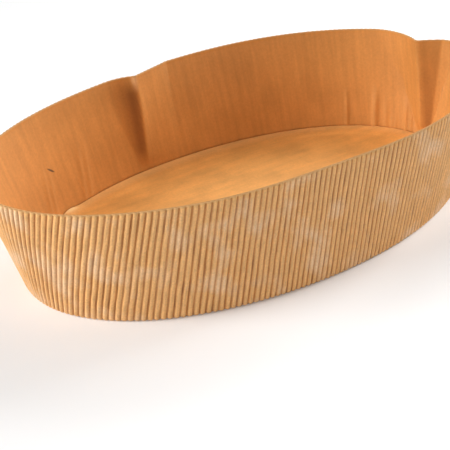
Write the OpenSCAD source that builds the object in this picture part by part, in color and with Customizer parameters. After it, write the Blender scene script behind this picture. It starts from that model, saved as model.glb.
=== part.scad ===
// Oval paper baking mould. A strip of single-face corrugated kraft board is wound to
// an oval with its flutes outside. Its lower edge is turned in under the base as a
// pressed flange, and an oval sheet of smooth kraft is glued on that flange.
// Units are millimetres. +X runs along the oval, +Z up, and the mould stands on Z = 0.

/* [Rim] */
// Length of the open rim over the flutes
rim_length = 190; // [165:1:205]
// Width of the open rim over the flutes
rim_width = 107; // [90:1:120]
// Height of the rim above the table
height = 41; // [25:0.5:55]
// How far the long side behind leans out at the rim
bulge_depth = 3.5; // [0:0.1:5]
// Middle of that lean, in degrees round the oval
bulge_at = 66.5; // [50:0.5:75]
// Half of its reach, in degrees
bulge_reach = 50; // [35:1:65]
// How far the near long side leans in at the rim
bow_depth = 1.7; // [0:0.1:3]
// Middle of that lean, in degrees round the oval
bow_at = 268; // [240:1:290]
// Half of its reach, in degrees
bow_reach = 27; // [15:1:40]

/* [Base] */
// Length over the rounded lower edge
base_length = 174; // [150:1:190]
// Width over the rounded lower edge
base_width = 102; // [85:1:112]
// Outside radius of the turn from wall to flange
turn_radius = 1.4; // [1.2:0.1:3]
// Width of the flange under the base sheet
flange_width = 7; // [3:0.5:12]
// Thickness of the oval base sheet
sheet_thick = 0.6; // [0.3:0.05:1.5]
// Free gap between the edge of the base sheet and the turn
sheet_gap = 0.1; // [0.05:0.05:1]

/* [Corrugated board] */
// Distance from one flute to the next round the rim
flute_pitch = 1.83; // [1.8:0.01:3]
// How far the flutes lean along the wall between the turn and the rim
flute_lean = 5; // [0:0.5:10]
// How much further their feet are drawn round the near end
end_lean = 8; // [0:0.5:10]
// Middle of that, in degrees round the oval
end_lean_at = 195; // [180:1:210]
// Half of its reach, in degrees
end_lean_reach = 60; // [45:1:80]
// Height of the flutes above their valleys
flute_height = 0.6; // [0.4:0.05:0.8]
// Paper of the smooth inside liner
liner_thick = 0.25; // [0.2:0.05:0.4]
// Paper of the fluted sheet
medium_thick = 0.2; // [0.14:0.02:0.24]

/* [Kink of the long side] */
// Place of its crease round the oval, in degrees
side_kink_at = 102.2; // [92:0.2:108]
// Depth at the rim
side_kink_depth = 3.8; // [0.5:0.1:7]
// Reach towards the far end and towards the near end, in degrees
side_kink_reach = [9.9, 8]; // [5:0.1:16]
// How far its crease wanders towards the far end on its way down, in degrees
side_kink_lean = 1; // [0:0.5:4]

/* [Kink of the far end] */
// Place of its crease round the oval, in degrees
end_kink_at = 11.4; // [4:0.2:16]
// Depth at the rim
end_kink_depth = 9.6; // [0.5:0.1:12]
// Reach towards the near side and towards the far side, in degrees
end_kink_reach = [14.2, 22.6]; // [8:0.1:26]
// How far its crease wanders towards the near side on its way down, in degrees
end_kink_lean = 5.5; // [0:0.5:8]

/* [Hidden] */
// Squareness of the oval: 2 is an ellipse
oval_power = 2.06;
// Share of the depth and reach that a kink has left just above the turn
kink_foot = 0.18;
// How the two flanks of each kink fall off: 1 is straight, more is hollow
side_kink_fall = [0.8, 2.8];
end_kink_fall = [1.1, 1.5];
// Height shares of the steps down the wall where a kink bends it
bent_levels = [1, 0.66, 0.33, 0.12, 0];
// Points of the tables round the oval
table_points = 360;
// Glue line between two flutes on each side, as a share of the pitch
glue_share = 0.1;
// Height share at which the turn closes the flutes
tunnel_end = 0.03;
board_thick = flute_height + medium_thick + liner_thick;
pressed_thick = liner_thick + medium_thick;
full_turn = 360;

// Plan outlines, by angle t in degrees

function signed_power(v, p) = sign(v) * pow(abs(v), 2 / p);

function oval(t, length, width) =
    [signed_power(cos(t), oval_power) * length / 2, signed_power(sin(t), oval_power) * width / 2];

// Smallest turn from angle b to angle a
function turn(a, b) = (a - b + 900) % full_turn - 180;

// Gentle lean of the rim: depth in its middle, nothing beyond its reach
function lean(t, at, depth, reach) =
    let (u = abs(turn(t, at)) / reach) u < 1 ? depth * pow(cos(90 * u), 2) : 0;

// Inward fold at height share h: deepest at the rim, narrower and shallower towards
// the turn, where it ends
function kink(t, h, at, lean, depth, reach, fall) =
    let (
        left = kink_foot + (1 - kink_foot) * h,
        d = turn(t, at - lean * (1 - h)),
        side = d < 0 ? 0 : 1,
        u = abs(d) / (reach[side] * left),
        foot = min(1, h / bent_levels[3])
    )
    u < 1 ? depth * left * foot * pow(1 - u, fall[side]) : 0;

function dent(t, h) =
    lean(t, bulge_at, bulge_depth, bulge_reach) * h
        - lean(t, bow_at, bow_depth, bow_reach) * h
        - kink(t, h, side_kink_at, side_kink_lean, side_kink_depth, side_kink_reach, side_kink_fall)
        - kink(t, h, end_kink_at, end_kink_lean, end_kink_depth, end_kink_reach, end_kink_fall);

// Tables round the rim, so flutes are evenly spaced on it and stand square to it

table_step = full_turn / table_points;
table_angles = [for (i = [0 : table_points]) i * table_step];

function rim_oval(t) = oval(t, rim_length, rim_width);

rim_spans = [for (t = table_angles) norm(rim_oval(t + table_step) - rim_oval(t))];
rim_sums = [for (i = 0, s = 0; i <= table_points; s = s + rim_spans[i], i = i + 1) s];
rim_perimeter = rim_sums[table_points];
angle_table = [for (i = [0 : table_points]) [rim_sums[i] / rim_perimeter, table_angles[i]]];
flutes = round(rim_perimeter / flute_pitch);

// Outward direction of the rim oval at angle t
function facing(t) =
    let (d = rim_oval(t + 0.5) - rim_oval(t - 0.5)) [d.y, -d.x] / norm(d);

// Size of the base oval that passes through p, as a share of the base
function base_share(p) =
    pow(
        pow(abs(2 * p.x / base_length), oval_power) + pow(abs(2 * p.y / base_width), oval_power),
        1 / oval_power
    );

// Way inward from point p on the rim, against direction n, to the base oval
function flare(p, n, way, tries) =
    tries == 0
        ? way
        : let (
            here = base_share(p - n * way),
            slope = here - base_share(p - n * (way + 1))
        )
        flare(p, n, way + (here - 1) / slope, tries - 1);

flare_table = [for (t = table_angles) [t, flare(rim_oval(t), facing(t), 0, 4)]];

// Crest line of the wall at perimeter share q and height share h (0 at the turn)
function outline(q, h) =
    let (
        drawn = lean(lookup(q - floor(q), angle_table), end_lean_at, end_lean, end_lean_reach),
        along = q + (flute_lean * h - drawn * (1 - h)) / rim_perimeter,
        t = lookup(along - floor(along), angle_table),
        mid = rim_oval(t) - facing(t) * lookup(t, flare_table) * (1 - h)
    )
    mid * (1 + dent(t, h) / norm(mid));

// The rim's box is centred on Z
rim_line = [for (j = [0 : flutes - 1]) outline((j + 0.5) / flutes, 1)];
function middle(v) = (min(v) + max(v)) / 2;
centre = [middle([for (p = rim_line) p.x]), middle([for (p = rim_line) p.y])];

// Point at q and h, moved inward by o, at height z
function wall_point(q, h, o, z) =
    let (
        p = outline(q, h) - centre,
        d = outline(q + 0.5 / flutes, h) - outline(q - 0.5 / flutes, h),
        n = [-d.y, d.x] / norm(d)
    )
    [p.x + n.x * o, p.y + n.y * o, z];

function wall_z(h) = turn_radius + (height - turn_radius) * h;

// Flutes that a kink bends get steps down the wall, the straight ones need none

function in_kink(q, at, reach) =
    let (
        d = turn(lookup(q, angle_table), at),
        spare = 2 * full_turn / flutes,
        slant = flute_lean / rim_perimeter * full_turn
    )
    d > -reach[0] - spare - 1.7 * slant && d < reach[1] + spare - 0.7 * slant;

function bent(j) =
    let (q = (j + 0.5) / flutes)
    in_kink(q, side_kink_at, side_kink_reach) || in_kink(q, end_kink_at, end_kink_reach);

bends = [for (j = [0 : flutes - 1]) bent(j)];

function crest_levels(j) = bends[j] ? bent_levels : [1, 0];
function edge_levels(j) =
    bends[j] || bends[(j + flutes - 1) % flutes] ? bent_levels : [1, 0];

// Columns of points, each from the rim down to the turn

function column(q, o, levels) = [for (h = levels) wall_point(q, h, o, wall_z(h))];

// The turn: a column goes on round it and ends on the underside of the flange, where
// the flutes are pressed flat
function turn_column(q, o) =
    let (c = turn_radius * (1 - cos(45)) + o / 2 * cos(45))
    [wall_point(q, 0, c, c), wall_point(q, 0, turn_radius, 0)];

// The tunnel inside a flute is a triangle: two corners on the liner, one under the crest
crest_paper = medium_thick * norm([1, 2 * flute_height / flute_pitch]);
tunnel_offsets = [flute_height + medium_thick, crest_paper, flute_height + medium_thick];
tunnel_places = [glue_share, 0.5, 1 - glue_share];
tunnel_levels = [for (h = bent_levels) max(h, tunnel_end)];

// Kinds of columns, each kind with one column for every flute
VALLEY = 0; CREST = 1; LINER = 2; TUNNEL = 3; VALLEY_TURN = 6; CREST_TURN = 7; LINER_TURN = 8;
each_flute = [for (j = [0 : flutes - 1]) j];

columns = concat(
    [for (j = each_flute) column(j / flutes, flute_height, edge_levels(j))],
    [for (j = each_flute) column((j + 0.5) / flutes, 0, crest_levels(j))],
    [for (j = each_flute) column(j / flutes, board_thick, edge_levels(j))],
    [for (i = [0 : 2], j = each_flute)
        column((j + tunnel_places[i]) / flutes, tunnel_offsets[i],
            bends[j] ? tunnel_levels : [1, tunnel_end])],
    [for (j = each_flute) turn_column(j / flutes, flute_height)],
    [for (j = each_flute) turn_column((j + 0.5) / flutes, 0)],
    [for (j = each_flute) let (q = j / flutes, reach = turn_radius + flange_width)
        [wall_point(q, 0, turn_radius, pressed_thick),
         wall_point(q, 0, reach, pressed_thick),
         wall_point(q, 0, reach, 0)]]
);
starts = [for (i = 0, s = 0; i < len(columns); s = s + len(columns[i]), i = i + 1) s];

// Point numbers of one column, from the top
function ids(kind, j) =
    let (c = kind * flutes + j % flutes) [for (k = [0 : len(columns[c]) - 1]) starts[c] + k];
function last(v) = v[len(v) - 1];

// Faces between two columns, a on the left and b on the right as seen from outside
function strip(a, b) =
    len(a) == len(b)
        ? [for (k = [0 : len(a) - 2]) each [[a[k], b[k], b[k + 1]], [a[k], b[k + 1], a[k + 1]]]]
        : len(a) > len(b)
            ? concat([for (k = [0 : len(a) - 2]) [a[k], b[0], a[k + 1]]], [[last(a), b[0], b[1]]])
            : concat([for (k = [0 : len(b) - 2]) [a[0], b[k], b[k + 1]]], [[a[0], last(b), a[1]]]);

// Every face that belongs to flute j
function flute_faces(j) =
    let (
        v = ids(VALLEY, j), w = ids(VALLEY, j + 1), c = ids(CREST, j),
        i = ids(LINER, j), n = ids(LINER, j + 1),
        l = ids(TUNNEL, j), t = ids(TUNNEL + 1, j), r = ids(TUNNEL + 2, j),
        vt = concat(last(v), ids(VALLEY_TURN, j)), wt = concat(last(w), ids(VALLEY_TURN, j + 1)),
        ct = concat(last(c), ids(CREST_TURN, j)),
        it = concat(last(i), ids(LINER_TURN, j)), nt = concat(last(n), ids(LINER_TURN, j + 1)),
        wall = concat(strip(v, c), strip(c, w), strip(n, i)),
        fold = concat(strip(vt, ct), strip(ct, wt), strip(nt, it)),
        under = [[last(vt), last(ct), last(it)], [last(ct), last(nt), last(it)],
            [last(ct), last(wt), last(nt)]],
        tunnel = concat(strip(l, r), strip(t, l), strip(r, t), [[last(l), last(r), last(t)]]),
        rim = [[v[0], t[0], c[0]], [v[0], l[0], t[0]], [v[0], i[0], l[0]], [i[0], r[0], l[0]],
            [i[0], n[0], r[0]], [n[0], w[0], r[0]], [w[0], t[0], r[0]], [w[0], c[0], t[0]]]
    )
    concat(wall, fold, under, tunnel, rim);

module side_wall() {
    color("peru")
        polyhedron(
            points = [for (c = columns) each c],
            faces = [for (j = each_flute) each flute_faces(j)],
            convexity = 8
        );
}

module base_disc() {
    inset = max(turn_radius, board_thick) + sheet_gap;
    outline_points = [for (j = [0 : 2 : flutes - 1])
        let (p = wall_point(j / flutes, 0, inset, 0)) [p.x, p.y]];
    color("burlywood")
        translate([0, 0, pressed_thick])
            linear_extrude(sheet_thick)
                polygon(outline_points);
}

side_wall();
base_disc();
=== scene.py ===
import math

import bpy
import numpy as np
from bpy.props import (FloatProperty, FloatVectorProperty, IntProperty, PointerProperty,
                       StringProperty)
from mathutils import Matrix, Vector


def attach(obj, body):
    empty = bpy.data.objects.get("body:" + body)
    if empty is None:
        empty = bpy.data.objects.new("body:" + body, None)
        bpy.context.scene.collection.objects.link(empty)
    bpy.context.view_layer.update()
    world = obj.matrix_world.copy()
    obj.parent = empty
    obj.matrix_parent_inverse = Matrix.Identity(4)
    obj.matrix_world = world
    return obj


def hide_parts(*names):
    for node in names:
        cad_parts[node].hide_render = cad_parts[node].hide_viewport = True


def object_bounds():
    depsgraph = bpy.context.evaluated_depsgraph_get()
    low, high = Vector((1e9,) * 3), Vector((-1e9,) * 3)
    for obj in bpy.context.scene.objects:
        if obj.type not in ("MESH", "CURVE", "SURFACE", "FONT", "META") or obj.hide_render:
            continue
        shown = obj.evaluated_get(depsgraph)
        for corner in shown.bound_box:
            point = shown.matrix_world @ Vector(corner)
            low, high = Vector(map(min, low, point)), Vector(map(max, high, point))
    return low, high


bl_info = {
    "name": "Oval paper baking mold",
    "version": (1, 0, 0),
    "blender": (4, 5, 0),
    "location": "View3D > Sidebar > Baking mold",
    "description": "Dresses the packed oval baking mold in fluted and smooth kraft paper",
    "category": "Object",
}

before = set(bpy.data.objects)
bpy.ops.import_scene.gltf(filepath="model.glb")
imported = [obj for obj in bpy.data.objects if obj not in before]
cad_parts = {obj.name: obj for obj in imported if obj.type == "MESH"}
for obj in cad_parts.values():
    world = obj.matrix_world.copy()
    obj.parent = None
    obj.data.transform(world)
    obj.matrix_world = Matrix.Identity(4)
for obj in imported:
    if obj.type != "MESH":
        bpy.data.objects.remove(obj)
CAD_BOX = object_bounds()
CAD_HEIGHT = CAD_BOX[1][2] - CAD_BOX[0][2]


# Sizes and colours

def length(name, text, default):
    return FloatProperty(name=name, description=text, default=default, precision=5,
                         subtype="DISTANCE", unit="LENGTH")


def number(name, text, default):
    return FloatProperty(name=name, description=text, default=default)


def row(name, text, default):
    return FloatVectorProperty(name=name, description=text, default=default, size=len(default))


def paint(name, text, default):
    return StringProperty(name=name, description=text + ", sRGB hex", default=default)


class MoldShape(bpy.types.PropertyGroup):
    """The sizes and dents of the solid model, places and reaches in degrees round the oval"""
    rim_length: length("Rim length", "Length of the open rim over the flutes", 0.190)
    rim_width: length("Rim width", "Width of the open rim over the flutes", 0.107)
    base_length: length("Base length", "Length over the rounded lower edge", 0.174)
    base_width: length("Base width", "Width over the rounded lower edge", 0.102)
    height: length("Height", "Height of the rim above the table", CAD_HEIGHT)
    oval_power: number("Squareness", "Squareness of the oval, 2 is an ellipse", 2.06)
    turn_radius: length("Turn radius", "Outside radius of the turn from wall to flange", 0.0014)
    flange_width: length("Flange width", "Width of the flange under the base sheet", 0.007)
    sheet_thick: length("Base sheet", "Thickness of the oval base sheet", 0.0006)
    sheet_gap: length("Sheet gap", "Free gap between the base sheet and the turn", 0.0001)
    bulge: row("Bulge", "Lean of the long side behind: place, depth at the rim in metres, reach",
               (66.5, 0.0035, 50.0))
    bow: row("Bow", "Lean of the near long side: place, depth at the rim in metres, reach",
             (268.0, -0.0017, 27.0))
    side_kink: row("Kink of the long side",
                   "Place, wander, depth, both reaches, both falls, near foot, pinch, break",
                   (102.2, 1.0, 0.0038, 9.9, 8.0, 0.8, 2.8, 1.0, 0.0008, 0.0))
    end_kink: row("Kink of the far end",
                  "Place, wander, depth, both reaches, both falls, near foot, pinch, break",
                  (11.4, 5.5, 0.0096, 14.2, 22.6, 1.1, 1.5, 0.18, 0.0, 0.0015))


class MoldBoard(bpy.types.PropertyGroup):
    """The corrugated board of the wall"""
    flutes: IntProperty(name="Flutes", description="Flutes round the wall", default=259)
    flute_lean: length("Flute lean", "How far the flutes lean between turn and rim", 0.005)
    end_lean: row("Lean of the near end",
                  "Feet drawn round the near end: place, way in metres, reach",
                  (195.0, 0.008, 60.0))
    flute_height: length("Flute height", "Height of the flutes above their valleys", 0.0006)
    medium_thick: length("Fluted paper", "Thickness of the fluted paper", 0.0002)
    liner_thick: length("Liner", "Thickness of the smooth inside liner", 0.00025)
    sharpness: number("Valley sharpness", "1 is a plain wave, more has narrow valleys", 1.8)
    uneven: number("Unevenness", "Share of their depth that some flutes lack", 0.45)
    waver: number("Waver", "Sideways waver of the flutes, in flutes", 0.09)
    seed: IntProperty(name="Seed", description="Seed of the uneven places", default=7)


class MoldPaper(bpy.types.PropertyGroup):
    """Colours of the papers"""
    crest: paint("Crest", "Fluted kraft on the crests", "#E2AC6C")
    # Valley is painted shade: the valleys are coloured darker than the crests
    valley: paint("Valley", "Fluted kraft in the valleys", "#B4783E")
    # Streak is painted shade that deepens single valleys in streaks
    streak: paint("Streak", "Dark streaks in the valleys", "#8E5A2E")
    bloom: paint("Bloom", "Pale bloom of the coating on the flutes", "#E8C8A4")
    liner: paint("Liner", "Smooth kraft of the liner", "#CE8E49")
    liner_dark: paint("Liner shade", "Darker cloud in the smooth kraft", "#B0783A")
    # Liner crease is a painted highlight along the top of the kink's crease
    liner_highlight: paint("Liner crease", "Worn fold of the smooth kraft", "#F0C48C")
    sheet: paint("Base sheet", "Smooth kraft of the base sheet", "#F3B05E")
    # Base sheet edge is a painted highlight over the flange and on the lifted edge
    sheet_highlight: paint("Base sheet edge", "Worn edge of the base sheet", "#FFDC9C")
    # Fold shadow is painted shadow beside the kinks
    shadow: paint("Fold shadow", "Rubbed, darkened hollow of a fold", "#7E4A20")
    fleck: paint("Fleck", "Dark fleck of bark in the liner", "#4A3020")
    cut: paint("Cut edge", "Cut edge of the paper", "#CC9E68")


class MoldStage(bpy.types.PropertyGroup):
    """Camera and studio light"""
    right: number("Right light", "Power of the softbox on the right, in watts", 6.2)
    corner: number("Corner light", "Power of the softbox in front on the right, in watts", 1.6)
    high: number("High light", "Power of the softbox high behind, in watts", 1.8)
    left: number("Left light", "Power of the softbox on the left, in watts", 6.5)
    near: number("Near light", "Power of the softbox beside the camera, in watts", 1.9)
    front: number("Front light", "Power of the low softbox in front, in watts", 0.6)
    ambient: number("Ambient", "Strength of the even light all round", 0.02)
    lens: FloatProperty(name="Lens", description="Focal length on a 36 mm frame",
                        default=64.918, unit="CAMERA")
    distance: length("Distance", "Camera distance from the middle of the oval", 0.29690)
    elevation: number("Elevation", "Camera elevation in degrees", 32.4186)
    azimuth: number("Azimuth", "Camera azimuth in degrees from the front", -28.9412)
    roll: number("Roll", "Camera roll in degrees", -4.1502)
    shift: row("Slide", "Camera slide to the right and up, in metres", (-0.010999, -0.006413))


# Numbers for the outlines in plan

FULL = 360.0
# Share of its reach that a kink has at the foot, and height share below which it fades out
KINK_FOOT = 0.18
FOOT_LEVEL = 0.12
# Degrees over which the pinch at a crease dies away
PINCH_REACH = 2.2
# Degrees from a crease to the soft break beside it at the rim, and share of them at the foot
BREAK_AT = 7.0
BREAK_FOOT = 0.42
# Way over which the flare of the wall is tried, in metres
FLARE_STEP = 0.001


# Small dents and marks in the paper

# Crimps low in the liner: degrees round the oval at the foot and at the top, half the gap
# between their two ridges, width and depth of a ridge in metres, height share of their top
CRIMPS = (
    (42.6, 43.0, 0.0, 0.0008, 0.00022, 0.40),
    (32.0, 32.4, 0.0006, 0.0012, 0.00045, 0.42),
    (23.6, 23.6, 0.0010, 0.0007, 0.00022, 0.16),
    (16.0, 17.2, 0.0020, 0.0012, 0.00050, 0.34),
    (27.4, 27.8, 0.0, 0.0012, 0.00014, 0.30),
    (120.5, 119.3, 0.0013, 0.0010, 0.00030, 0.62),
    (134.2, 132.2, 0.0013, 0.0010, 0.00026, 0.60),
)
# The dark fleck in the liner: its middle in metres, its turn in radians, and half its length, half
# its depth through the paper and half its height in metres
FLECK_AT = (-0.0613, 0.0360, 0.0195)
FLECK_TURN = (0.0, 0.73, 0.535)
FLECK_SIZE = (0.0021, 0.004, 0.0004)
# Where the base sheet's edge is lifted and how far to each side, in degrees round the oval, and
# how high and how far inward, in metres
LIFTED_AT = 128.5
LIFTED_SPAN = 3.0
LIFTED_HIGH = 0.0012
LIFTED_REACH = 0.0025
# Folds at the base sheet's edge: degrees round the oval, width and height in metres, and how far
# inward they reach
EDGE_FOLDS = ((17.0, 0.0016, 0.00022), (24.0, 0.0012, 0.00016), (31.0, 0.0014, 0.00022),
              (38.0, 0.0012, 0.00018), (44.0, 0.0018, 0.00012))
FOLD_REACH = 0.008
# In metres, how far the base sheet sinks inside the flange, how high its cockles are, how far
# they lie above its edge, and how far down it may come
SHEET_DIP = 0.0003
COCKLE_HIGH = 0.0005
SHEET_RISE = 0.0001
SHEET_LOWEST = -0.00042
# Share of the painted highlight colour in the band over the flange
BAND_PALE = 0.22
# Shares of shadow: in the wedge beside the long side's kink, more at its crease, and in the
# strip beside the far end's kink
WEDGE_DARK = 0.38
CREASE_DARK = 0.42
STRIP_DARK = 0.45
# Share of their depth that the flutes keep on the flange
FLANGE_PRESS = 0.06
# Share of their height that the crests lose at the cut rim, and how far below it, in metres
RIM_CRUSH = 0.5
CRUSH_REACH = 0.0007


# Rows and columns of the meshes

# Rows of the wall as shares of its height, for both sides of the fluted paper and of the liner
OUTER_LEVELS = np.concatenate([[1, 0.99, 0.975], np.linspace(0.95, 0, 19)])
INNER_LEVELS = np.array([1, 0.975, 0.95, 0.85, 0.66, 0.33, 0.12, 0])
INSIDE_LEVELS = np.linspace(1, 0, 31)
BEHIND_LEVELS = np.array([1, 0.95, 0.66, 0.33, 0.12, 0])
# Rings of the base sheet as shares of its size, closer together near its edge
SHEET_RINGS = np.concatenate([[1.0], np.linspace(0.985, 0.76, 20), np.linspace(0.73, 0.02, 32)])
SHEET_COLUMNS = 360
FLUTED_COLUMNS_EACH = 8
LINER_COLUMNS_EACH = 4


# Outlines in plan, by the same rules as in the solid model: t is an angle round the oval in
# degrees, q a share of its perimeter and h a share of the wall's height

def superellipse(t, size_x, size_y, power):
    c, s = np.cos(np.radians(t)), np.sin(np.radians(t))
    x = np.sign(c) * np.abs(c) ** (2 / power) * size_x / 2
    y = np.sign(s) * np.abs(s) ** (2 / power) * size_y / 2
    return np.stack([x, y], -1)


def turn(a, b):
    """Degrees from b to a, between -180 and 180"""
    return (a - b + 900) % FULL - 180


def lean(t, at, depth, reach):
    """A soft swell of a depth at one place"""
    u = np.minimum(np.abs(turn(t, at)) / reach, 1)
    return depth * np.cos(np.pi / 2 * u) ** 2


def from_crease(t, h, place):
    """Degrees from the crease of a kink, which wanders round the oval below the rim"""
    return turn(t, place[0] - place[1] * (1 - h))


def break_way(h):
    """Degrees from a crease to the break beside it"""
    return BREAK_AT * (BREAK_FOOT + (1 - BREAK_FOOT) * h)


def kink(t, h, place):
    """The fold of the solid model, with the pinch and the break that its paper shows"""
    depth, near, far, near_fall, far_fall, near_foot, pinch, step = place[2:]
    left = KINK_FOOT + (1 - KINK_FOOT) * h
    d = from_crease(t, h, place)
    reach = np.where(d < 0, near * (near_foot + (1 - near_foot) * h), far * left)
    fall = 1 + (np.where(d < 0, near_fall, far_fall) - 1) * h ** 2
    foot = np.minimum(1, h / FOOT_LEVEL)
    fold = depth * left * foot * np.clip(1 - np.abs(d) / reach, 0, 1) ** fall
    fold = fold + pinch * np.sin(np.pi * h) * np.exp(-np.abs(d) / PINCH_REACH)
    broken = break_way(h)
    return fold - step * left * foot * np.clip(1 - np.abs(d + broken) / broken, 0, 1)


class Oval:
    """Crest line of the wall by share of the perimeter and share of the height"""

    def __init__(self, shape, board):
        self.shape, self.board = shape, board
        self.t = np.arange(FULL + 1)
        rim = self.rim(self.t)
        spans = np.linalg.norm(self.rim(self.t + 1) - rim, axis=-1)
        sums = np.concatenate([[0], np.cumsum(spans)[:-1]])
        self.perimeter = sums[-1]
        self.shares = sums / sums[-1]
        self.flares = self.flare(rim, self.facing(self.t))
        line = self.crest((np.arange(board.flutes) + 0.5) / board.flutes, 1.0)
        self.centre = (line.min(axis=0) + line.max(axis=0)) / 2

    def rim(self, t):
        s = self.shape
        return superellipse(t, s.rim_length, s.rim_width, s.oval_power)

    def facing(self, t):
        """Direction outward at the rim"""
        d = self.rim(t + 0.5) - self.rim(t - 0.5)
        n = np.stack([d[..., 1], -d[..., 0]], -1)
        return n / np.linalg.norm(n, axis=-1, keepdims=True)

    def base_share(self, p):
        """Size of the oval through a point, as a share of the base's"""
        s = self.shape
        x, y = np.abs(2 * p[..., 0] / s.base_length), np.abs(2 * p[..., 1] / s.base_width)
        return (x ** s.oval_power + y ** s.oval_power) ** (1 / s.oval_power)

    def flare(self, p, n):
        """Way from the rim inward to the base's oval, found in four steps"""
        way = np.zeros(p.shape[:-1])
        for _ in range(4):
            here = self.base_share(p - n * way[..., None])
            slope = here - self.base_share(p - n * (way[..., None] + FLARE_STEP))
            way = way + (here - 1) / slope * FLARE_STEP
        return way

    def along(self, degrees):
        """Way along the rim that an angle round the oval spans"""
        return degrees / FULL * self.perimeter

    def angle(self, q, h):
        """Angle round the oval of a flute at perimeter share q and height share h"""
        drawn = lean(np.interp(q % 1.0, self.shares, self.t), *self.board.end_lean)
        leant = q + (self.board.flute_lean * h - drawn * (1 - h)) / self.perimeter
        return np.interp(leant % 1.0, self.shares, self.t)

    def crest(self, q, h):
        """Point of the crest line in plan"""
        s = self.shape
        t = self.angle(q, h)
        way = np.interp(t, self.t, self.flares) * (1 - h)
        mid = self.rim(t) - self.facing(t) * way[..., None]
        dent = (lean(t, *s.bulge) + lean(t, *s.bow)) * h
        dent = dent - kink(t, h, s.side_kink) - kink(t, h, s.end_kink)
        return mid * (1 + dent / np.linalg.norm(mid, axis=-1))[..., None]

    def place(self, q, h):
        """Point in plan and direction inward"""
        half = 0.5 / self.board.flutes
        d = self.crest(q + half, h) - self.crest(q - half, h)
        n = np.stack([-d[..., 1], d[..., 0]], -1)
        n /= np.linalg.norm(n, axis=-1, keepdims=True)
        return self.crest(q, h) - self.centre, n


# Mesh helpers

def ring_faces(first, rows, columns, outward=True):
    """Quads of a closed band of rows, seen from outside when it goes down"""
    r, c = np.meshgrid(np.arange(rows - 1), np.arange(columns), indexing="ij")
    n = (c + 1) % columns
    a, b = first + r * columns + c, first + r * columns + n
    quads = np.stack([a, a + columns, b + columns, b], -1).reshape(-1, 4)
    return quads if outward else quads[:, ::-1]


def shell_faces(rows, back_rows, columns, outward=True):
    """Faces of a closed shell: a band of rows, a band behind it and the strips at both ends"""
    first = rows * columns
    low, high = first - columns, first + (back_rows - 1) * columns
    c = np.arange(columns)
    n = (c + 1) % columns
    ends = np.concatenate([np.stack([c, n, first + n, first + c], -1),
                           np.stack([low + n, low + c, high + c, high + n], -1)])
    return np.concatenate([ring_faces(0, rows, columns, outward),
                           ring_faces(first, back_rows, columns, not outward),
                           ends if outward else ends[:, ::-1]]).tolist()


def with_height(plan, z):
    """Points in plan with a height added"""
    return np.concatenate([plan, np.broadcast_to(z, plan.shape[:-1])[..., None]], -1)


def make_mesh(name, points, faces, floats=None, vectors=None):
    """A new piece, with its values by point stored as attributes"""
    mesh = bpy.data.meshes.new(name)
    mesh.from_pydata(points.reshape(-1, 3).tolist(), [], faces)
    for label, values in (floats or {}).items():
        mesh.attributes.new(label, "FLOAT", "POINT").data.foreach_set(
            "value", np.ascontiguousarray(values, dtype=np.float32).ravel())
    for label, values in (vectors or {}).items():
        mesh.attributes.new(label, "FLOAT_VECTOR", "POINT").data.foreach_set(
            "vector", np.ascontiguousarray(values, dtype=np.float32).ravel())
    mesh.validate()
    piece = bpy.data.objects.new(name, mesh)
    bpy.context.scene.collection.objects.link(piece)
    return piece


def finish_piece(piece, material, node_name, sharp):
    """Gives a piece its paper, smooth up to a sharp angle in degrees, and its place in the model"""
    mesh = piece.data
    mesh.materials.clear()
    mesh.materials.append(material)
    mesh.shade_smooth()
    mesh.set_sharp_from_angle(angle=math.radians(sharp))
    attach(piece, "root")
    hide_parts(node_name)


class Profile:
    """Section of the wall: down from the rim, round the turn, in along the flange"""

    def __init__(self, shape, wall_levels, turn_steps, flange_steps):
        self.h = np.concatenate([wall_levels, np.zeros(turn_steps + flange_steps)])
        self.phi = np.concatenate([
            np.zeros(len(wall_levels)),
            np.linspace(0, np.pi / 2, turn_steps + 1)[1:],
            np.full(flange_steps, np.pi / 2)])
        self.inward = np.concatenate([
            np.zeros(len(wall_levels) + turn_steps),
            np.linspace(0, shape.flange_width, flange_steps + 1)[1:]])
        self.shape = shape
        r = shape.turn_radius
        # way from the rim down the wall, round the turn and in
        self.drop = (shape.height - r) * (1 - self.h) + r * self.phi + self.inward

    def points(self, oval, q, depth):
        """Grid of points at a depth under the crests, with the direction inward"""
        s, r = self.shape, self.shape.turn_radius
        plan, n = oval.place(q[None, :], self.h[:, None])
        cos, sin = np.cos(self.phi)[:, None], np.sin(self.phi)[:, None]
        way = r * (1 - cos) + depth * cos + self.inward[:, None]
        z = (r + (s.height - r) * self.h)[:, None] - r * sin + depth * sin
        return with_height(plan + n * way[..., None], z), with_height(n * cos[..., None], sin)


# Nodes

# Sockets of a Mix node: both inputs for plain numbers, both inputs and the output for colours
FLOAT_A, FLOAT_B, PAINT_A, PAINT_B, PAINT_OUT = 2, 3, 6, 7, 2


def add(tree, kind, inputs=None, **settings):
    """Adds a node; an input may be a value, a socket or a node whose first output is meant"""
    made = tree.nodes.new(kind)
    for name, value in settings.items():
        setattr(made, name, value)
    for name, value in (inputs or {}).items():
        if isinstance(value, bpy.types.Node):
            value = value.outputs[0]
        if isinstance(value, bpy.types.NodeSocket):
            tree.links.new(value, made.inputs[name])
        else:
            made.inputs[name].default_value = value
    return made


def linear(hex_text):
    """sRGB hex to the linear colour that the shader takes"""
    parts = [int(hex_text[i:i + 2], 16) / 255 for i in (1, 3, 5)]
    return [p / 12.92 if p <= 0.04045 else ((p + 0.055) / 1.055) ** 2.4 for p in parts] + [1.0]


def new_material(name):
    """A material with one shader on its surface"""
    material = bpy.data.materials.new(name)
    material.use_nodes = True
    tree = material.node_tree
    tree.nodes.clear()
    shader = add(tree, "ShaderNodeBsdfPrincipled")
    add(tree, "ShaderNodeOutputMaterial", {"Surface": shader})
    return material, tree, shader


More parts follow.
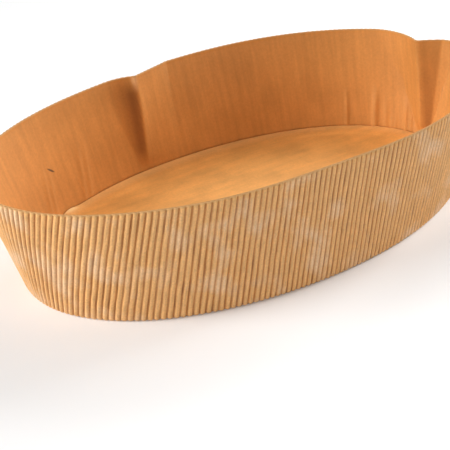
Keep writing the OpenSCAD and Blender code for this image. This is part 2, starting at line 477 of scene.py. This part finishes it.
def fluting_tree(material, sizes):
    """Presses the flutes into a plain sheet by its attributes, with an input for each size

    flute counts the flutes round the wall, press is how much of its depth a flute keeps, crush how
    far its crest is pushed in, drop the way down from the rim and inward the direction
    """
    tree = bpy.data.node_groups.new("Fluting", "GeometryNodeTree")
    face = tree.interface
    face.new_socket("Geometry", in_out="INPUT", socket_type="NodeSocketGeometry")
    for name, value in sizes.items():
        kind = "NodeSocketInt" if isinstance(value, int) else "NodeSocketFloat"
        face.new_socket(name, in_out="INPUT", socket_type=kind).default_value = value
    face.new_socket("Geometry", in_out="OUTPUT", socket_type="NodeSocketGeometry")
    given = add(tree, "NodeGroupInput")
    flute, press, crush, drop = (
        add(tree, "GeometryNodeInputNamedAttribute", {"Name": name}, data_type="FLOAT")
        for name in ("flute", "press", "crush", "drop"))
    inward = add(tree, "GeometryNodeInputNamedAttribute", {"Name": "inward"},
                 data_type="FLOAT_VECTOR")
    place = add(tree, "GeometryNodeInputPosition")
    # the waver follows the place on the wall, about 12 mm from one bend to the next
    noise = add(tree, "ShaderNodeTexNoise", {"Vector": place, "W": given.outputs["Seed"],
                "Scale": 85.0, "Detail": 2.0, "Roughness": 0.6}, noise_dimensions="4D")
    centred = add(tree, "ShaderNodeMath", {0: noise, 1: 0.5}, operation="SUBTRACT")
    off = add(tree, "ShaderNodeMath", {0: centred, 1: given.outputs["Waver"]},
              operation="MULTIPLY")
    # the noise goes about 1/4 to each side of its middle, so 4 makes the waver its full width
    moved = add(tree, "ShaderNodeMath", {0: off, 1: 4.0, 2: flute}, operation="MULTIPLY_ADD")
    turned = add(tree, "ShaderNodeMath", {0: moved, 1: 2 * math.pi}, operation="MULTIPLY")
    wave = add(tree, "ShaderNodeMath", {0: turned}, operation="COSINE")
    half = add(tree, "ShaderNodeMath", {0: wave, 1: 0.5, 2: 0.5}, operation="MULTIPLY_ADD",
               use_clamp=True)
    valley = add(tree, "ShaderNodeMath", {0: half, 1: given.outputs["Valley sharpness"]},
                 operation="POWER")
    # every flute is pressed to a depth of its own, which changes over about 20 mm of it
    along = add(tree, "ShaderNodeMath", {0: drop, 1: 70.0}, operation="MULTIPLY")
    mark = add(tree, "ShaderNodeCombineXYZ", {0: flute, 1: along, 2: given.outputs["Seed"]})
    lack = add(tree, "ShaderNodeTexNoise", {"Vector": mark, "Scale": 0.7, "Detail": 1.0})
    lacking = add(tree, "ShaderNodeMapRange", {"Value": lack, "From Min": 0.4, "From Max": 0.75,
                  "To Min": 0.0, "To Max": given.outputs["Unevenness"]})
    full = add(tree, "ShaderNodeMath", {0: 1.0, 1: lacking}, operation="SUBTRACT")
    uneven = add(tree, "ShaderNodeMath", {0: valley, 1: full}, operation="MULTIPLY")
    pressed = add(tree, "ShaderNodeMath", {0: uneven, 1: press}, operation="MULTIPLY")
    # a crushed crest lies nearer to the liner, while the valley stays glued to it
    crushed = add(tree, "ShaderNodeMix", {"Factor": crush, FLOAT_A: pressed, FLOAT_B: 1.0})
    deep = add(tree, "ShaderNodeMath", {0: crushed, 1: given.outputs["Flute height"]},
               operation="MULTIPLY")
    step = add(tree, "ShaderNodeVectorMath", {0: inward, "Scale": deep}, operation="SCALE")
    shaped = add(tree, "GeometryNodeSetPosition",
                 {"Geometry": given.outputs["Geometry"], "Offset": step})
    crest = add(tree, "ShaderNodeMath", {0: 1.0, 1: valley}, operation="SUBTRACT")
    kept = add(tree, "GeometryNodeStoreNamedAttribute",
               {"Geometry": shaped, "Name": "crest", "Value": crest},
               data_type="FLOAT", domain="POINT")
    real = add(tree, "GeometryNodeRealizeInstances", {"Geometry": kept})
    dressed = add(tree, "GeometryNodeSetMaterial", {"Geometry": real, "Material": material})
    add(tree, "NodeGroupOutput", {"Geometry": dressed})
    return tree


def run_tree(piece, tree, values):
    """Runs a tree on a piece and leaves a plain mesh"""
    modifier = piece.modifiers.new(tree.name, "NODES")
    modifier.node_group = tree
    names = {s.name: s.identifier for s in tree.interface.items_tree if s.in_out == "INPUT"}
    for name, value in values.items():
        modifier[names[name]] = value
    ready = piece.evaluated_get(bpy.context.evaluated_depsgraph_get())
    mesh = bpy.data.meshes.new_from_object(ready)
    piece.modifiers.remove(modifier)
    old = piece.data
    piece.data = mesh
    bpy.data.meshes.remove(old)
    mesh.name = piece.name


# Papers

def matt_rim(tree, shader, drop, roughness):
    """The torn fibres of the cut rim are matt, down to 1.5 mm below it"""
    matt = add(tree, "ShaderNodeMapRange", {"Value": drop, "From Min": 0.0003, "From Max": 0.0015,
               "To Min": 1.0, "To Max": roughness})
    tree.links.new(matt.outputs[0], shader.inputs["Roughness"])


def finish_paper(tree, shader, colour, shade, grain, strength):
    """Shades the colour by the paper's fibres, which also stand up to 0.1 mm proud"""
    coloured = add(tree, "ShaderNodeMix", {"Factor": 1.0, PAINT_A: colour, PAINT_B: shade},
                   data_type="RGBA", blend_type="MULTIPLY")
    tree.links.new(coloured.outputs[PAINT_OUT], shader.inputs["Base Color"])
    bump = add(tree, "ShaderNodeBump", {"Height": grain, "Strength": strength, "Distance": 0.0001})
    tree.links.new(bump.outputs[0], shader.inputs["Normal"])
    shader.inputs["IOR"].default_value = 1.45


def fluted_kraft(paper):
    """Fluted kraft: unglazed brown paper pressed over heated rollers, dusty on its crests, with
    painted shade in its valleys
    """
    material, tree, shader = new_material("Fluted kraft")
    where = add(tree, "ShaderNodeTexCoord").outputs["Object"]
    crest = add(tree, "ShaderNodeAttribute", attribute_name="crest").outputs["Fac"]
    # painted shade: the valleys are coloured browner than the crests
    height = add(tree, "ShaderNodeValToRGB", {"Fac": crest})
    height.color_ramp.elements[0].color = linear(paper.valley)
    height.color_ramp.elements[0].position = 0.05
    height.color_ramp.elements[1].color = linear(paper.crest)
    height.color_ramp.elements[1].position = 0.6
    # dark streaks of painted shade run 5 to 15 mm along single valleys
    flute = add(tree, "ShaderNodeAttribute", attribute_name="flute").outputs["Fac"]
    drop = add(tree, "ShaderNodeAttribute", attribute_name="drop").outputs["Fac"]
    along = add(tree, "ShaderNodeMath", {0: drop, 1: 110.0}, operation="MULTIPLY")
    lane = add(tree, "ShaderNodeMath", {0: flute, 1: 1.9}, operation="MULTIPLY")
    mark = add(tree, "ShaderNodeCombineXYZ", {0: lane, 1: along})
    run = add(tree, "ShaderNodeTexNoise", {"Vector": mark, "Scale": 1.0, "Detail": 2.0})
    streak = add(tree, "ShaderNodeMapRange", {"Value": run, "From Min": 0.5, "From Max": 0.72,
                 "To Min": 0.0, "To Max": 0.8})
    low = add(tree, "ShaderNodeMapRange", {"Value": crest, "From Min": 0.1, "From Max": 0.6,
              "To Min": 1.0, "To Max": 0.12})
    in_valley = add(tree, "ShaderNodeMath", {0: streak, 1: low}, operation="MULTIPLY")
    streaked = add(tree, "ShaderNodeMix", {"Factor": in_valley, PAINT_A: height,
                   PAINT_B: linear(paper.streak)}, data_type="RGBA")
    # blotches of pale bloom, 8 to 15 mm across
    blotch = add(tree, "ShaderNodeTexNoise",
                 {"Vector": where, "Scale": 80.0, "Detail": 2.5, "Roughness": 0.5})
    bloom = add(tree, "ShaderNodeMapRange", {"Value": blotch, "From Min": 0.5, "From Max": 0.66,
                "To Min": 0.0, "To Max": 0.6})
    low = add(tree, "ShaderNodeMapRange", {"Value": crest, "To Min": 0.35, "To Max": 1.0})
    on_crest = add(tree, "ShaderNodeMath", {0: bloom, 1: low}, operation="MULTIPLY")
    bloomed = add(tree, "ShaderNodeMix", {"Factor": on_crest, PAINT_A: streaked.outputs[PAINT_OUT],
                  PAINT_B: linear(paper.bloom)}, data_type="RGBA")
    # the cut rim shows the pale inside of the paper, about 0.4 mm of it
    edge = add(tree, "ShaderNodeMapRange", {"Value": drop, "From Min": 0.0002, "From Max": 0.0006,
               "To Min": 0.85, "To Max": 0.0})
    bloomed = add(tree, "ShaderNodeMix", {"Factor": edge, PAINT_A: bloomed.outputs[PAINT_OUT],
                  PAINT_B: linear(paper.cut)}, data_type="RGBA")
    # flocks of fibres, drawn 0.7 mm apart, which is coarser than real ones, so that they show
    grain = add(tree, "ShaderNodeTexNoise",
                {"Vector": where, "Scale": 1500.0, "Detail": 3.0, "Roughness": 0.65})
    shade = add(tree, "ShaderNodeMapRange", {"Value": grain, "From Min": 0.3, "From Max": 0.7,
                "To Min": 0.86, "To Max": 1.1})
    # slubs follow each flute, up to half a flute wide and about 7 mm long
    slub = add(tree, "ShaderNodeTexNoise", {"Vector": mark, "Scale": 1.3, "Detail": 1.0,
               "Roughness": 0.6})
    tone = add(tree, "ShaderNodeMapRange", {"Value": slub, "From Min": 0.3, "From Max": 0.7,
               "To Min": 0.9, "To Max": 1.1})
    both = add(tree, "ShaderNodeMath", {0: shade, 1: tone}, operation="MULTIPLY")
    finish_paper(tree, shader, bloomed.outputs[PAINT_OUT], both, grain, 0.25)
    matt_rim(tree, shader, drop, 0.5)
    return material


def smooth_kraft(paper, name, colour, highlight_colour, on_flutes=False):
    """Smooth kraft: machine-glazed brown paper, even, with a dull shine"""
    material, tree, shader = new_material(name)
    where = add(tree, "ShaderNodeTexCoord").outputs["Object"]
    # clouds of darker pulp, about 15 mm across
    cloud = add(tree, "ShaderNodeTexNoise",
                {"Vector": where, "Scale": 60.0, "Detail": 3.0, "Roughness": 0.55})
    much = add(tree, "ShaderNodeMapRange", {"Value": cloud, "From Min": 0.42, "From Max": 0.68,
               "To Min": 0.0, "To Max": 0.35})
    clouded = add(tree, "ShaderNodeMix",
                  {"Factor": much, PAINT_A: linear(colour), PAINT_B: linear(paper.liner_dark)},
                  data_type="RGBA")
    if on_flutes:
        # the flutes behind the liner show through as faint upright streaks, 1 to 3 mm wide
        flute = add(tree, "ShaderNodeAttribute", attribute_name="flute").outputs["Fac"]
        drop = add(tree, "ShaderNodeAttribute", attribute_name="drop").outputs["Fac"]
        along = add(tree, "ShaderNodeMath", {0: drop, 1: 40.0}, operation="MULTIPLY")
        lane = add(tree, "ShaderNodeCombineXYZ", {0: flute, 1: along})
    else:
        # the sheet has faint streaks from the paper machine along its length, about 4 mm wide
        lane = add(tree, "ShaderNodeVectorMath", {0: where, 1: (50.0, 300.0, 50.0)},
                   operation="MULTIPLY")
    streak = add(tree, "ShaderNodeTexNoise", {"Vector": lane, "Scale": 0.9, "Detail": 2.0})
    through = add(tree, "ShaderNodeMapRange", {"Value": streak, "From Min": 0.3,
                  "From Max": 0.7, "To Min": 0.92, "To Max": 1.07})
    streaked = add(tree, "ShaderNodeMix",
                   {"Factor": 1.0, PAINT_A: clouded.outputs[PAINT_OUT], PAINT_B: through},
                   data_type="RGBA", blend_type="MULTIPLY")
    # painted highlight: folds and edges are painted pale where light catches them
    worn = add(tree, "ShaderNodeAttribute", attribute_name="worn").outputs["Fac"]
    marked = add(tree, "ShaderNodeMix", {"Factor": worn, PAINT_A: streaked.outputs[PAINT_OUT],
                 PAINT_B: linear(highlight_colour)}, data_type="RGBA")
    roughness = 0.55
    shader.inputs["Roughness"].default_value = roughness
    if on_flutes:
        matt_rim(tree, shader, drop, roughness)
        # painted shadow in the hollow beside a kink
        hollow = add(tree, "ShaderNodeAttribute", attribute_name="hollow").outputs["Fac"]
        # the cut rim is duller than the glazed face, down to 0.6 mm below it
        edge = add(tree, "ShaderNodeMapRange", {"Value": drop, "From Min": 0.0,
                   "From Max": 0.0006, "To Min": 0.8, "To Max": 0.0})
        # one dark fleck of bark, about 4 mm long, lies in the pulp on the left
        spot = add(tree, "ShaderNodeMapping", {"Vector": where, "Location": FLECK_AT,
                   "Rotation": FLECK_TURN, "Scale": FLECK_SIZE}, vector_type="TEXTURE")
        far = add(tree, "ShaderNodeVectorMath", {0: spot}, operation="LENGTH").outputs["Value"]
        bark = add(tree, "ShaderNodeMapRange", {"Value": far, "From Min": 0.7, "From Max": 1.1,
                   "To Min": 0.85, "To Max": 0.0})
        for much, tint in ((hollow, paper.shadow), (edge, paper.cut), (bark, paper.fleck)):
            marked = add(tree, "ShaderNodeMix", {"Factor": much, PAINT_A: marked.outputs[PAINT_OUT],
                         PAINT_B: linear(tint)}, data_type="RGBA")
    # flocks of fibres, drawn 0.9 mm apart, which is coarser than real ones, so that they show
    fibre = add(tree, "ShaderNodeTexNoise",
                {"Vector": where, "Scale": 1100.0, "Detail": 3.0, "Roughness": 0.6})
    shade = add(tree, "ShaderNodeMapRange", {"Value": fibre, "From Min": 0.3, "From Max": 0.7,
                "To Min": 0.93, "To Max": 1.05})
    finish_paper(tree, shader, marked.outputs[PAINT_OUT], shade, fibre, 0.12)
    return material


# Pieces

def make_fluted_sheet(shape, board, paper):
    """The fluted paper outside: a thin closed shell, hollow behind each flute"""
    oval = Oval(shape, board)
    columns = board.flutes * FLUTED_COLUMNS_EACH
    q = np.arange(columns) / columns
    outer = Profile(shape, OUTER_LEVELS, turn_steps=5, flange_steps=4)
    inner = Profile(shape, INNER_LEVELS, turn_steps=4, flange_steps=1)
    grids, ways, floats = [], [], {"flute": [], "press": [], "crush": [], "drop": []}
    for profile, depth in ((outer, 0.0), (inner, board.medium_thick)):
        points, inward = profile.points(oval, q, depth)
        # the flutes are pressed nearly flat on the flange, twice as flat at its inner edge
        press = FLANGE_PRESS + (1 - FLANGE_PRESS) * np.cos(profile.phi)
        press = press * (1 - profile.inward / shape.flange_width * 0.5)
        crush = RIM_CRUSH * np.exp(-(profile.drop / CRUSH_REACH) ** 2)
        grids.append(points.reshape(-1, 3))
        ways.append(inward.reshape(-1, 3))
        floats["flute"].append(np.tile(q * board.flutes, len(profile.h)))
        floats["press"].append(np.repeat(press, columns))
        floats["crush"].append(np.repeat(crush, columns))
        floats["drop"].append(np.repeat(profile.drop, columns))
    piece = make_mesh("fluted_sheet", np.concatenate(grids),
                      shell_faces(len(outer.h), len(inner.h), columns),
                      {k: np.concatenate(v) for k, v in floats.items()},
                      {"inward": np.concatenate(ways)})
    material = fluted_kraft(paper)
    sizes = {"Flute height": board.flute_height, "Valley sharpness": board.sharpness,
             "Waver": board.waver, "Unevenness": board.uneven, "Seed": board.seed}
    run_tree(piece, fluting_tree(material, sizes), sizes)
    finish_piece(piece, material, "side_wall", sharp=50)


def crimps(oval, t, h):
    """Rise of the liner at its crimps: two ridges with a groove between, or one ridge"""
    rise = np.zeros(np.broadcast_shapes(t.shape, h.shape))
    for foot, top, gap, width, depth, up in CRIMPS:
        d = oval.along(turn(t, foot + (top - foot) * h / up))
        ridges = np.exp(-((d - gap) / width) ** 2) + np.exp(-((d + gap) / width) ** 2)
        # a crimp fades out over the upper 2/5 of its height
        fade = np.clip((up - h) / up * 2.5, 0, 1)
        rise = rise + depth * ridges * fade
    return rise


def hollow_shadows(shape, t, h):
    """Share of painted shadow in the hollow beside each kink, sharp along its crease"""
    # a wedge beside the long side's crease, wider towards the rim, and darker close to the crease
    d = from_crease(t, h, shape.side_kink)
    wedge = WEDGE_DARK * np.clip(1 - d / (1.6 + 6.4 * h), 0, 1) ** 0.6
    dark = CREASE_DARK * np.exp(-((d - 1.3) / 1.3) ** 2)
    ends = np.clip((h - 0.06) * 6, 0, 1) * np.clip((0.97 - h) * 7, 0, 1)
    side = (wedge + dark) * np.clip(d * 3, 0, 1) * ends
    # the strip between the break and the end's crease
    d = from_crease(t, h, shape.end_kink)
    strip = np.clip((d + break_way(h)) / 0.5, 0, 1) * np.clip(-d / 1.5, 0, 1)
    return side + STRIP_DARK * strip * (1.25 - h)


def make_liner_sheet(shape, board, paper):
    """The smooth liner inside, glued to the valleys of the fluted paper"""
    oval = Oval(shape, board)
    columns = board.flutes * LINER_COLUMNS_EACH
    q = np.arange(columns) / columns
    pressed = board.medium_thick + board.liner_thick
    full = board.flute_height + pressed
    inside = Profile(shape, INSIDE_LEVELS, turn_steps=6, flange_steps=2)
    behind = Profile(shape, BEHIND_LEVELS, turn_steps=4, flange_steps=1)
    grids, floats = [], {"worn": [], "hollow": [], "flute": [], "drop": []}
    for profile, under in ((inside, 0.0), (behind, board.liner_thick)):
        h = profile.h[:, None]
        t = oval.angle(q[None, :], h)
        depth = (full + (pressed - full) * np.sin(profile.phi) - under)[:, None]
        if profile is inside:
            depth = depth + crimps(oval, t, h) * np.cos(profile.phi)[:, None]
        points, _ = profile.points(oval, q, depth)
        # a painted highlight runs along the crease of the long side's kink in its top sixth, 0.5 mm
        # to each side
        d = oval.along(from_crease(t, h, shape.side_kink))
        fold = np.exp(-((d - 0.0003) / 0.0005) ** 2) * np.clip(h * 8 - 6.6, 0, 1)
        grids.append(points.reshape(-1, 3))
        floats["worn"].append(fold.ravel())
        floats["hollow"].append(hollow_shadows(shape, t, h).ravel())
        floats["flute"].append(np.tile(q * board.flutes, len(profile.h)))
        floats["drop"].append(np.repeat(profile.drop, columns))
    piece = make_mesh("liner_sheet", np.concatenate(grids),
                      shell_faces(len(inside.h), len(behind.h), columns, outward=False),
                      {k: np.concatenate(v) for k, v in floats.items()})
    material = smooth_kraft(paper, "Smooth kraft liner", paper.liner, paper.liner_highlight,
                            on_flutes=True)
    finish_piece(piece, material, "side_wall", sharp=35)


def ripples(x, y, seed, low, high, count):
    """Gentle unevenness from a few waves of lengths between low and high, each with a direction"""
    rng = np.random.default_rng(seed)
    z = np.zeros(np.shape(x))
    for _ in range(count):
        angle, wave, phase = rng.uniform(0, math.pi), rng.uniform(low, high), rng.uniform(0, 6.3)
        z += np.sin((x * math.cos(angle) + y * math.sin(angle)) / wave * 2 * math.pi + phase)
    return z / count


def make_base_sheet(shape, board, paper):
    """The oval base sheet, glued on the flange and a little cockled"""
    oval = Oval(shape, board)
    q = np.arange(SHEET_COLUMNS) / SHEET_COLUMNS
    plan, inward = oval.place(q, np.zeros(SHEET_COLUMNS))
    z_low = board.medium_thick + board.liner_thick
    board_thick = board.flute_height + z_low
    edge = plan + inward * (max(shape.turn_radius, board_thick) + shape.sheet_gap)
    shares = SHEET_RINGS[:, None]
    way = np.linalg.norm(edge, axis=-1)[None] * (1 - shares)
    t = np.broadcast_to(oval.angle(q, 0.0)[None], way.shape)
    # over the flange the sheet lies high, and from 5.5 to 9 mm in it sinks towards the table
    dip = SHEET_DIP * np.clip((way - 0.0055) / 0.0035, 0, 1) ** 2
    lifted = np.exp(-(turn(t, LIFTED_AT) / LIFTED_SPAN) ** 2) * np.exp(-(way / LIFTED_REACH) ** 2)
    folds = sum(high * np.exp(-(oval.along(turn(t, at)) / wide) ** 2)
                for at, wide, high in EDGE_FOLDS) * np.exp(-(way / FOLD_REACH) ** 2)
    # painted highlight: a paler band over the flange fades out 2 to 6 mm in, and the lifted edge is
    # paler still
    band = BAND_PALE * np.clip((0.006 - way) / 0.004, 0, 1)
    pale = np.maximum(band, np.clip(1.6 * lifted - 0.4, 0, 1)).ravel()
    xy = edge[None] * shares[..., None]
    # the cockles begin at the edge and are full from 4/5 of the sheet's size inward
    waves = ripples(xy[..., 0], xy[..., 1], seed=5, low=0.03, high=0.09, count=7)
    cockles = waves * COCKLE_HIGH + SHEET_RISE
    rise = np.maximum(cockles * np.clip((1 - shares) / 0.2, 0, 1) - dip, SHEET_LOWEST)
    c = np.arange(SHEET_COLUMNS)
    n = (c + 1) % SHEET_COLUMNS
    points, faces = [], []
    for level, up in ((z_low + shape.sheet_thick, True), (z_low, False)):
        z = level + rise + LIFTED_HIGH * lifted + folds
        first = sum(len(p) for p in points)
        pole = first + z.size
        last = pole - SHEET_COLUMNS
        points += [with_height(xy, z).reshape(-1, 3), np.array([[0, 0, z[-1].mean()]])]
        faces += ring_faces(first, len(z), SHEET_COLUMNS, not up).tolist()
        fan = np.stack([last + c, last + n, np.full(SHEET_COLUMNS, pole)], -1)
        faces += (fan if up else fan[:, ::-1]).tolist()
    under = len(points[0]) + 1
    faces += np.stack([c, under + c, under + n, n], -1).tolist()
    # painted highlight over the flange and on the lifted edge, on both faces of the sheet
    worn = np.concatenate([pale, [0.0], pale, [0.0]])
    piece = make_mesh("base_sheet", np.concatenate(points), faces, {"worn": worn})
    material = smooth_kraft(paper, "Smooth kraft sheet", paper.sheet, paper.sheet_highlight)
    finish_piece(piece, material, "base_disc", sharp=35)


# Stage

# Softboxes by their angles in degrees: from +X round towards +Y, and up from the floor
LAMPS = {"right": (1, 20), "corner": (345, 30), "high": (45, 45), "left": (165, 25),
         "near": (225, 40), "front": (290, 11)}
# Their size, their way from the mold and the point that they face, in metres
LAMP_SIZE = 0.35
LAMP_AWAY = 0.8
LAMP_AIM = Vector((0, 0, 0.02))
FLOOR_RADIUS = 3.0
FLOOR_CORNERS = 64


def area_light(name, azimuth, elevation, power):
    """A square softbox that faces the middle of the mold"""
    data = bpy.data.lights.new(name, "AREA")
    data.shape = "SQUARE"
    data.size = LAMP_SIZE
    data.energy = power
    lamp = bpy.data.objects.new(name, data)
    az, el = math.radians(azimuth), math.radians(elevation)
    way = Vector((math.cos(az) * math.cos(el), math.sin(az) * math.cos(el), math.sin(el)))
    lamp.location = way * LAMP_AWAY + LAMP_AIM
    lamp.rotation_euler = way.to_track_quat("Z", "Y").to_euler()
    lamp.visible_camera = False
    bpy.context.scene.collection.objects.link(lamp)


def make_camera(stage, centre):
    """A camera that looks past the middle of the oval, by its slide"""
    az, el = math.radians(stage.azimuth), math.radians(stage.elevation)
    back = Vector((math.sin(az) * math.cos(el), -math.cos(az) * math.cos(el), math.sin(el)))
    level = (-back).cross(Vector((0, 0, 1))).normalized()
    upright = level.cross(-back)
    roll = math.radians(stage.roll)
    right = level * math.cos(roll) + upright * math.sin(roll)
    up = upright * math.cos(roll) - level * math.sin(roll)
    place = back * stage.distance + right * stage.shift[0] + up * stage.shift[1] + centre
    data = bpy.data.cameras.new("camera")
    data.lens = stage.lens
    data.sensor_width = 36
    data.clip_start = 0.01
    camera = bpy.data.objects.new("camera", data)
    camera.matrix_world = Matrix((
        (right.x, up.x, back.x, place.x), (right.y, up.y, back.y, place.y),
        (right.z, up.z, back.z, place.z), (0, 0, 0, 1)))
    bpy.context.scene.collection.objects.link(camera)
    bpy.context.scene.camera = camera


def seen_plain(tree):
    """1 where the eye, a reflection or clear stuff looks at the background"""
    rays = add(tree, "ShaderNodeLightPath")
    seen = add(tree, "ShaderNodeMath", {0: rays.outputs["Is Camera Ray"],
               1: rays.outputs["Is Glossy Ray"]}, operation="MAXIMUM")
    return add(tree, "ShaderNodeMath", {0: seen, 1: rays.outputs["Is Transmission Ray"]},
               operation="MAXIMUM")


def make_floor():
    """A pale painted table top that fades to white at a distance"""
    mesh = bpy.data.meshes.new("floor")
    angles = [2 * math.pi * i / FLOOR_CORNERS for i in range(FLOOR_CORNERS)]
    ring = [(FLOOR_RADIUS * math.cos(a), FLOOR_RADIUS * math.sin(a), 0) for a in angles]
    mesh.from_pydata(ring, [], [list(range(FLOOR_CORNERS))])
    floor = bpy.data.objects.new("floor", mesh)
    bpy.context.scene.collection.objects.link(floor)
    # matt white paint: even, without any shine
    material, tree, shader = new_material("Floor matt white paint")
    shader.inputs["Base Color"].default_value = linear("#F1F1F1")
    shader.inputs["Roughness"].default_value = 0.9
    shader.inputs["Specular IOR Level"].default_value = 0.0
    # the lamps reach 0.3 m of it, and further out it fades to the white background
    where = add(tree, "ShaderNodeTexCoord").outputs["Object"]
    far = add(tree, "ShaderNodeVectorMath", {0: where}, operation="LENGTH").outputs["Value"]
    fade = add(tree, "ShaderNodeMapRange", {"Value": far, "From Min": 0.25, "From Max": 0.6},
               interpolation_type="SMOOTHSTEP")
    faded = add(tree, "ShaderNodeMath", {0: fade, 1: seen_plain(tree)}, operation="MULTIPLY")
    white = add(tree, "ShaderNodeEmission", {"Strength": 1.0})
    surface = shader.outputs[0].links[0].to_socket
    mixed = add(tree, "ShaderNodeMixShader", {0: faded, 1: shader, 2: white})
    tree.links.new(mixed.outputs[0], surface)
    mesh.materials.append(material)


def make_world(ambient):
    """An even light of the ambient strength, in front of a white background"""
    world = bpy.data.worlds.new("studio")
    bpy.context.scene.world = world
    world.use_nodes = True
    tree = world.node_tree
    tree.nodes.clear()
    level = add(tree, "ShaderNodeMapRange",
                {"Value": seen_plain(tree), "To Min": ambient, "To Max": 1.0})
    sky = add(tree, "ShaderNodeBackground", {"Color": (1, 1, 1, 1), "Strength": level})
    add(tree, "ShaderNodeOutputWorld", {"Surface": sky})


# Operators

class MOLD_OT_fluted_sheet(bpy.types.Operator):
    """Make the fluted paper of the wall"""
    bl_idname = "mold.fluted_sheet"
    bl_label = "Fluted paper"

    def execute(self, context):
        scene = context.scene
        make_fluted_sheet(scene.mold_shape, scene.mold_board, scene.mold_paper)
        return {"FINISHED"}


class MOLD_OT_liner_sheet(bpy.types.Operator):
    """Make the smooth liner of the wall"""
    bl_idname = "mold.liner_sheet"
    bl_label = "Smooth liner"

    def execute(self, context):
        scene = context.scene
        make_liner_sheet(scene.mold_shape, scene.mold_board, scene.mold_paper)
        return {"FINISHED"}


class MOLD_OT_base_sheet(bpy.types.Operator):
    """Make the oval base sheet"""
    bl_idname = "mold.base_sheet"
    bl_label = "Base sheet"

    def execute(self, context):
        scene = context.scene
        make_base_sheet(scene.mold_shape, scene.mold_board, scene.mold_paper)
        return {"FINISHED"}


class MOLD_OT_stage(bpy.types.Operator):
    """Make the floor, the light and the camera"""
    bl_idname = "mold.stage"
    bl_label = "Stage"

    def execute(self, context):
        scene = context.scene
        stage = scene.mold_stage
        centre = -Oval(scene.mold_shape, scene.mold_board).centre
        make_camera(stage, Vector((centre[0], centre[1], 0)))
        make_floor()
        make_world(stage.ambient)
        for name, (azimuth, elevation) in LAMPS.items():
            area_light(name, azimuth, elevation, getattr(stage, name))
        scene.view_settings.view_transform = "Standard"
        return {"FINISHED"}


class MOLD_PT_panel(bpy.types.Panel):
    """Lists the pieces of the baking mold"""
    bl_label = "Baking mold"
    bl_idname = "MOLD_PT_panel"
    bl_space_type = "VIEW_3D"
    bl_region_type = "UI"
    bl_category = "Baking mold"

    def draw(self, context):
        for operator in OPERATORS:
            self.layout.operator(operator.bl_idname)


OPERATORS = (MOLD_OT_fluted_sheet, MOLD_OT_liner_sheet, MOLD_OT_base_sheet, MOLD_OT_stage)
GROUPS = {"mold_shape": MoldShape, "mold_board": MoldBoard,
          "mold_paper": MoldPaper, "mold_stage": MoldStage}


def register():
    for kind in (*GROUPS.values(), *OPERATORS, MOLD_PT_panel):
        bpy.utils.register_class(kind)
    for name, group in GROUPS.items():
        setattr(bpy.types.Scene, name, PointerProperty(type=group))


def unregister():
    for name in GROUPS:
        delattr(bpy.types.Scene, name)
    for kind in (MOLD_PT_panel, *OPERATORS, *reversed(list(GROUPS.values()))):
        bpy.utils.unregister_class(kind)


def main():
    register()
    bpy.ops.mold.fluted_sheet()
    bpy.ops.mold.liner_sheet()
    bpy.ops.mold.base_sheet()
    bpy.ops.mold.stage()


if __name__ == "__main__":
    main()
